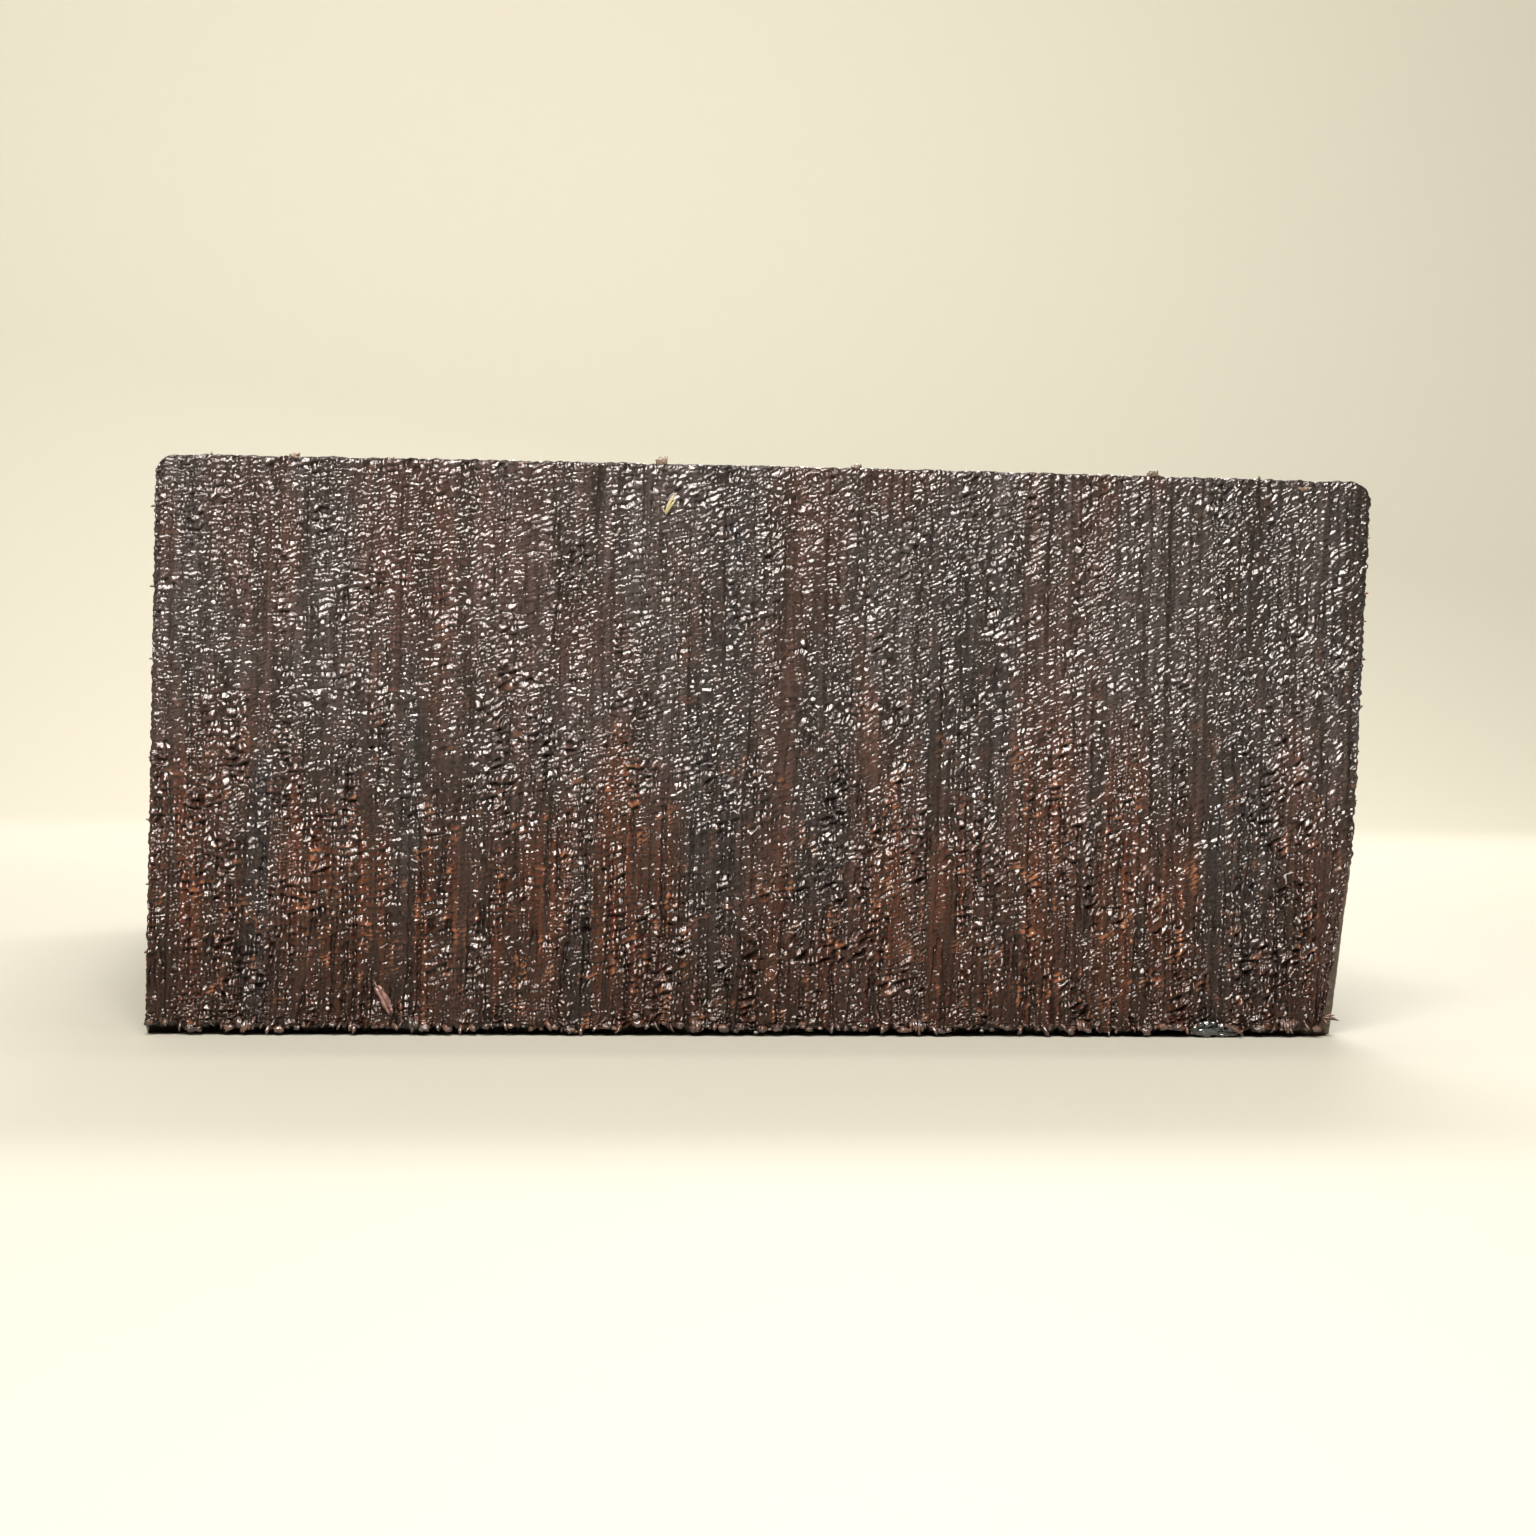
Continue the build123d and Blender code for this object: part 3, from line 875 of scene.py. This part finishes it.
def varnished_wood():
    """Stained wood under varnish: the end grain, the long faces and the bare chip in one."""
    material = bpy.data.materials.new("varnished_wood")
    n = Nodes(material)
    rings = n.fact("rings")
    part = n.math("FRACT", rings)
    dense = n.math("MULTIPLY", n.spread(part, 0.5, 0.85), n.spread(part, 0.95, 1.0, 1.0, 0.0))
    height = n.height()
    end = n.fact("end_grain")

    streaks = n.noise(0.32, 4, 0.6, (1.0, 0.05, 0.12))
    fibres = n.noise(1.3, 3, 0.6, (1.0, 0.04, 0.05))
    blotches = n.noise(0.05, 3, 0.5, (1.0, 0.3, 0.7))
    specks = n.noise(0.7, 2, 0.5, (1.0, 0.3, 0.8))
    low_down = n.spread(height, 0.6, 0.05)
    rust = n.math("MULTIPLY", n.fact("rust"), n.spread(streaks, 0.30, 0.65, 0.35, 1.0))
    low_rust = n.math("MULTIPLY", low_down, n.spread(streaks, 0.35, 0.65, 0.0, 0.55))
    rust = n.math("ADD", rust, low_rust, clamp=True)
    cold = n.math("MULTIPLY", n.fact("cold"), n.spread(blotches, 0.30, 0.60, 0.75, 1.2), clamp=True)

    # painted light on the end grain, for the highlight on the lips of the scales
    painted_light = n.math("MULTIPLY", n.spread(n.fact("relief"), 0.35, 0.85), end)
    # painted shade in the hollows under the scales and in the grooves
    hollow_shade = n.math("MULTIPLY", n.spread(n.fact("relief"), 0.05, 0.55, 0.95, 0.0), end)
    base = n.mix(n.spread(height, 0.1, 0.8), LOW_WOOD, HIGH_WOOD)
    warm = n.spread(n.noise(0.11, 3, 0.5, (1.0, 0.3, 0.35), (0.02, 0, 0)), 0.48, 0.62, 0.0, 0.95)
    base = n.mix(warm, base, WARM_PATCH)
    base = n.mix(rust, base, RUST)
    base = n.mix(cold, base, COLD)
    ring_share = n.spread(end, 0.0, 1.0, 0.70, 0.30)
    base = n.mix(n.math("MULTIPLY", dense, ring_share), base, DENSE_RING)
    length_grain = n.spread(n.noise(1.1, 4, 0.65, (1.0, 0.025, 1.0)), 0.32, 0.68, 0.34, 1.25)
    end_shade = n.math("MULTIPLY", n.spread(fibres, 0.30, 0.70, 0.24, 1.18), end)
    long_shade = n.math("MULTIPLY", length_grain, n.math("SUBTRACT", 1.0, end))
    shade = n.math("ADD", end_shade, long_shade)
    base = n.mix(1.0, base, n.mix(shade, (0, 0, 0, 1), (1, 1, 1, 1)), "MULTIPLY")
    base = n.mix(n.spread(height, 0.36, 0.02, 0.0, 0.55), base, LOW_EDGE)
    # painted highlight on the lips of the scales, strongest in the rust and low down
    painted_highlight = n.math("MULTIPLY", n.spread(specks, 0.56, 0.70), painted_light)
    painted_highlight = n.math("MULTIPLY", painted_highlight, n.spread(rust, 0.0, 0.8, 0.35, 1.0))
    painted_highlight = n.math("MULTIPLY", painted_highlight, n.spread(height, 0.85, 0.3, 0.2, 0.8))
    base = n.mix(painted_highlight, base, PAINTED_LIP_HIGHLIGHT)
    base = n.mix(hollow_shade, base, HOLLOW_SHADE)
    # painted shade under the break-out
    base = n.mix(n.fact("under"), base, UNDERCUT_SHADE)
    bare_wood = n.mix(length_grain, BARE_DARK, BARE_LIGHT)
    base = n.mix(n.math("MULTIPLY", n.fact("bare"), 0.8), base, bare_wood)

    shader = n.new("ShaderNodeBsdfPrincipled")
    n.link(base, shader.inputs["Base Color"])
    dull = n.math("MULTIPLY", n.fact("bare"), 0.45)
    n.fill(shader.inputs["Roughness"], n.math("ADD", n.spread(specks, 0.3, 0.7, 0.30, 0.48), dull))
    shader.inputs["Specular IOR Level"].default_value = 0.20
    shader.inputs["Specular Tint"].default_value = (1.0, 0.62, 0.46, 1.0)
    covered = n.spread(n.fact("bare"), 0.0, 1.0, 1.0, 0.03)
    film = n.math("MULTIPLY", covered, n.spread(height, 0.0, 0.4, 0.68, 1.0))
    n.link(film, shader.inputs["Coat Weight"])
    shader.inputs["Coat Roughness"].default_value = 0.06
    shader.inputs["Coat IOR"].default_value = 1.46
    n.bump(shader, n.noise(3.2, 3, 0.6, (1.0, 0.4, 1.4)), 0.00008)
    n.surface(shader)
    return material


def bit_material(name, dark, light, coat, rough=0.45, scale=1.6, bump_height=0.00006, gloss=0.08):
    """Bare or varnished wood of a small bit: two colours in streaks, a fine grain and a coat."""
    material = bpy.data.materials.new(name)
    n = Nodes(material)
    streaks = n.noise(scale, 4, 0.65, (1.0, 1.0, 0.5))
    fine = n.noise(5.0 * scale, 3, 0.6, (1.0, 1.0, 0.5))
    base = n.mix(n.spread(streaks, 0.35, 0.65), dark, light)
    base = n.mix(n.spread(fine, 0.35, 0.65, 0.0, 0.35), base, dark)
    shader = n.new("ShaderNodeBsdfPrincipled")
    n.link(base, shader.inputs["Base Color"])
    n.fill(shader.inputs["Roughness"], n.spread(fine, 0.3, 0.7, rough - 0.12, rough + 0.12))
    shader.inputs["Coat Weight"].default_value = coat
    shader.inputs["Coat Roughness"].default_value = gloss
    shader.inputs["Coat IOR"].default_value = 1.50
    n.bump(shader, fine, bump_height)
    n.surface(shader)
    return material


def plain_stage(name, colour, rough):
    """One plain colour for the stage."""
    material = bpy.data.materials.new(name)
    n = Nodes(material)
    shader = n.new("ShaderNodeBsdfPrincipled")
    shader.inputs["Base Color"].default_value = colour
    shader.inputs["Roughness"].default_value = rough
    n.surface(shader)
    return material


# ---------------------------------------------------------------- stage, lights and camera


def stage_outline(grow):
    """A rounded rectangle round the block and the camera, grown outwards on all sides, in metres."""
    half_width, front, back, corner = 1.2, -1.30, 0.55, 0.5
    turn = np.linspace(0, math.pi / 2, 16)
    sides = []
    radius = corner + grow
    for k, (x, y) in enumerate(((1, back), (-1, back), (-1, front), (1, front))):
        middle_x = x * (half_width - corner)
        middle_y = y - corner if y > 0 else y + corner
        way = turn + k * math.pi / 2
        sides.append(np.stack([middle_x + radius * np.cos(way), middle_y + radius * np.sin(way)], 1))
    return np.concatenate(sides)


def make_stage():
    """A pale floor that curves up into pale walls all round."""
    bend, rise = 0.35, 1.4
    tilts = np.linspace(0, math.pi / 2, 24)
    profile = [(bend * math.sin(tilt), bend * (1 - math.cos(tilt))) for tilt in tilts]
    profile.append((bend, rise))
    rings = []
    for grow, z in profile:
        outline = stage_outline(grow)
        rings.append(np.concatenate([outline, np.full((len(outline), 1), z)], 1))
    n = len(rings[0])
    grid = np.arange(len(rings) * n).reshape(len(rings), n)
    wrap = np.roll(grid, -1, axis=1)
    walls = np.stack([grid[:-1], grid[1:], wrap[1:], wrap[:-1]], -1).reshape(-1, 4)
    loops = np.concatenate([grid[0], walls.ravel()])
    sizes = np.concatenate([[n], np.full(len(walls), 4)])
    floor = mesh_object("floor", np.concatenate(rings) / MM, loops, sizes)
    floor.data.materials.append(plain_stage("pale_floor", (0.40, 0.38, 0.32, 1), 0.7))


def area_light(name, place, target, size, power, colour, spread=180):
    """A flat lamp that looks at its target. Places in metres, power in watts."""
    data = bpy.data.lights.new(name, "AREA")
    data.spread = math.radians(spread)
    data.shape = "RECTANGLE"
    data.size, data.size_y = size
    data.energy = power
    data.color = colour
    lamp = bpy.data.objects.new(name, data)
    bpy.context.scene.collection.objects.link(lamp)
    line = Vector(target) - Vector(place)
    aim = line.to_track_quat("-Z", "Y").to_matrix().to_4x4()
    lamp.matrix_world = Matrix.Translation(place) @ aim


def make_lights():
    """Lamps over the front and the rear of the block, and one for each wall of the stage."""
    soft_white, wall_white = (1.0, 0.98, 0.95), (1.0, 0.97, 0.90)
    front = (0.0, FRONT * MM, 0.5 * HEIGHT * MM)
    rear = (0.0, REAR * MM, 0.5 * HEIGHT * MM)
    area_light("key", (-0.08, -0.50, 0.44), front, (0.30, 0.122), 7.7, (1.0, 0.97, 0.92))
    area_light("top", (0.05, -0.22, 0.55), front, (0.30, 0.12), 0.5, soft_white)
    area_light("front_wall", (0.0, -0.80, 1.25), (0.0, -1.60, 0.45), (1.6, 0.3), 6.0, wall_white, 140)
    area_light("wall", (0.0, 0.25, 0.95), (0.0, 0.90, 0.35), (0.9, 0.3), 11.2, wall_white, 150)
    area_light("back", (0.12, 0.52, 0.44), rear, (0.30, 0.12), 3.5, soft_white)
    for side, name in ((-1, "left_wall"), (1, "right_wall")):
        place, target = (0.55 * side, -0.25, 1.00), (1.45 * side, -0.25, 0.35)
        area_light(name, place, target, (1.2, 0.3), 6.5, wall_white, 145)
    world = bpy.data.worlds.new("soft_room")
    world.use_nodes = True
    background = world.node_tree.nodes["Background"]
    background.inputs["Color"].default_value = (0.92, 0.90, 0.84, 1)
    background.inputs["Strength"].default_value = 0.10
    bpy.context.scene.world = world


def make_camera():
    """The photograph's view: close to the torn end, at half its height, left of the middle."""
    data = bpy.data.cameras.new("camera")
    data.sensor_width = 36.0
    data.lens = 70.95
    data.clip_start = 0.01
    camera = bpy.data.objects.new("camera", data)
    bpy.context.scene.collection.objects.link(camera)
    place = (-0.0270, FRONT * MM - 0.2328, 0.0226)
    turn = Matrix.Rotation(math.radians(-6.54), 4, "Z")
    dip = Matrix.Rotation(math.radians(-0.436), 4, "X")
    roll = Matrix.Rotation(math.radians(-0.76), 4, "Y")
    upright = Matrix.Rotation(math.radians(90), 4, "X")
    camera.matrix_world = Matrix.Translation(place) @ turn @ dip @ roll @ upright
    bpy.context.scene.camera = camera


def dress(piece, material):
    """Gives a piece its material, and ties it to the body."""
    piece.data.materials.append(material)
    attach(piece, "root")


bpy.context.scene.view_settings.view_transform = "Standard"
make_camera()
make_lights()
make_stage()
dress(make_block(), varnished_wood())

torn_fibre = bit_material("torn_fibre", (0.016, 0.007, 0.005, 1), (0.105, 0.040, 0.020, 1), 1.0)
bare_splinter = bit_material("bare_splinter", (0.050, 0.020, 0.017, 1), (0.36, 0.185, 0.155, 1), 1.0,
                             rough=0.3, scale=1.7)
pale_wood = bit_material("pale_wood", (0.25, 0.20, 0.09, 1), (0.47, 0.40, 0.22, 1), 0.3)
wood_crumb = bit_material("wood_crumb", (0.08, 0.050, 0.033, 1), (0.24, 0.17, 0.12, 1), 0.5)
cured_finish = bit_material("cured_finish", (0.010, 0.012, 0.011, 1), (0.045, 0.050, 0.047, 1), 1.0,
                            rough=0.2, scale=0.6, bump_height=0.00001, gloss=0.03)
make_embedded_splinter(bare_splinter)
make_pale_shaving(pale_wood)
make_crumbs(wood_crumb)
make_finish_run(cured_finish)
make_tufts(torn_fibre)
make_corner_splinter(torn_fibre)
make_fringe(torn_fibre)
make_whiskers(torn_fibre)
